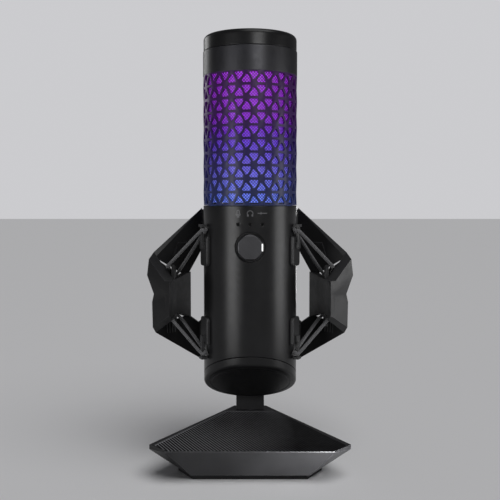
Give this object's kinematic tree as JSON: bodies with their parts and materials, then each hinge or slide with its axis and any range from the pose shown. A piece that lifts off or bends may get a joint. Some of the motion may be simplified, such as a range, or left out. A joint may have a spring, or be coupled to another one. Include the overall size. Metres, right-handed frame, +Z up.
{
  "type": "desktop microphone",
  "caption": "Upright condenser microphone with a lit pierced grille, hung on elastic loops in a faceted shock mount that tilts on a weighted stand.",
  "frame": {"origin": "on the desk, at the middle of the rubber pad's underside and under the microphone's upright axis", "axes": "+Z up along the microphone's axis, -Y towards the speaker (the dial's side), +X to the speaker's right when facing the dial"},
  "size_m": [0.141, 0.1112, 0.287],
  "materials": {
    "satin_black": "black anodised, satin",
    "grille_steel": "pierced sheet, satin black",
    "knob_black": "machined facets, satin black",
    "base_black": "die-cast, fine satin black",
    "neck_black": "satin black",
    "plate_black": "fine diagonal grooves",
    "frame_plastic": "fine moulded grain, dark grey",
    "dark_plastic": "moulded, black",
    "touch_black": "smooth touch surface",
    "light_pipe": "smoked clear",
    "pointer_white": "lit white",
    "mesh_lit": "fine woven steel gauze",
    "diffuser_lit": "frosted, lit violet to blue",
    "foam": "open-cell foam",
    "capsule_gold": "gold-plated",
    "rubber": "matte",
    "elastic": "round braided elastic",
    "circuit_board": "solder mask",
    "bright_steel": "plated steel",
    "weight_steel": "plain steel plate"
  },
  "bodies": {
    "stand": {"base_shell": "base_black", "base_weight": "weight_steel", "base_top_plate": "plate_black", "base_pad": "rubber", "neck": "neck_black", "neck_bolt": "bright_steel", "weight_screw_left": "bright_steel", "weight_screw_right": "bright_steel", "weight_screw_rear": "bright_steel"},
    "shock_mount": {"left_frame": "frame_plastic", "right_frame": "frame_plastic", "rear_yoke": "frame_plastic", "frame_screw_upper_left": "bright_steel", "frame_screw_upper_right": "bright_steel", "frame_screw_lower_left": "bright_steel", "frame_screw_lower_right": "bright_steel", "pivot_bolt": "bright_steel", "elastic_upper_left": "elastic", "elastic_upper_right": "elastic", "elastic_lower_left": "elastic", "elastic_lower_right": "elastic"},
    "clamp": {"tilt_knob": "dark_plastic"},
    "microphone": {"top_cap": "satin_black", "touch_mute_plate": "touch_black", "touch_board": "circuit_board", "head_grille": "grille_steel", "mesh_liner": "mesh_lit", "light_diffuser": "diffuser_lit", "upper_led_ring": "circuit_board", "lower_led_ring": "circuit_board", "foam_filter": "foam", "mic_capsule": "capsule_gold", "capsule_ring": "rubber", "capsule_stand": "dark_plastic", "body_shell": "satin_black", "bottom_cap": "satin_black", "chassis": "dark_plastic", "main_board": "circuit_board", "rear_port_panel": "dark_plastic", "usb_c_socket": "bright_steel", "headphone_socket": "dark_plastic", "knob_bezel": "dark_plastic", "rotary_encoder": "bright_steel", "gain_led_pipe": "light_pipe", "headphone_led_pipe": "light_pipe", "mix_led_pipe": "light_pipe", "clip_upper_left": "frame_plastic", "clip_upper_right": "frame_plastic", "clip_lower_left": "frame_plastic", "clip_lower_right": "frame_plastic"},
    "dial_plunger": {"encoder_plunger": "dark_plastic"},
    "dial": {"control_knob": "knob_black", "knob_pointer": "pointer_white", "encoder_shaft": "bright_steel"},
    "lighting_key": {"lighting_button": "dark_plastic"},
    "high_pass_key": {"high_pass_button": "dark_plastic"}
  },
  "joints": [
    {"name": "head_tilt", "type": "hinge", "parent": "stand", "child": "shock_mount", "pos_m": [0, 0.048, 0.078], "axis": [1, 0, 0], "range_deg": [-30, 12]},
    {"name": "clamp_turn", "type": "hinge", "parent": "shock_mount", "child": "clamp", "pos_m": [0.018, 0.048, 0.078], "axis": [1, 0, 0], "range_deg": [0, 300]},
    {"name": "mic_float", "type": "slide", "parent": "shock_mount", "child": "microphone", "axis": [0, 0, 1], "range_m": [-0.0012, 0.0012], "stiffness_N_per_m": 5000, "springref_m": 0.00096},
    {"name": "dial_press", "type": "slide", "parent": "microphone", "child": "dial_plunger", "axis": [0, 1, 0], "range_m": [0, 0.0008], "stiffness_N_per_m": 2500, "springref_m": -0.0006},
    {"name": "dial_turn", "type": "hinge", "parent": "dial_plunger", "child": "dial", "pos_m": [0, -0.03, 0.1475], "axis": [0, -1, 0], "continuous": true},
    {"name": "lighting_press", "type": "slide", "parent": "microphone", "child": "lighting_key", "axis": [0, -1, 0], "range_m": [0, 0.0006], "stiffness_N_per_m": 2000, "springref_m": -0.0005},
    {"name": "high_pass_press", "type": "slide", "parent": "microphone", "child": "high_pass_key", "axis": [0, -1, 0], "range_m": [0, 0.0006], "stiffness_N_per_m": 2000, "springref_m": -0.0005}
  ]
}
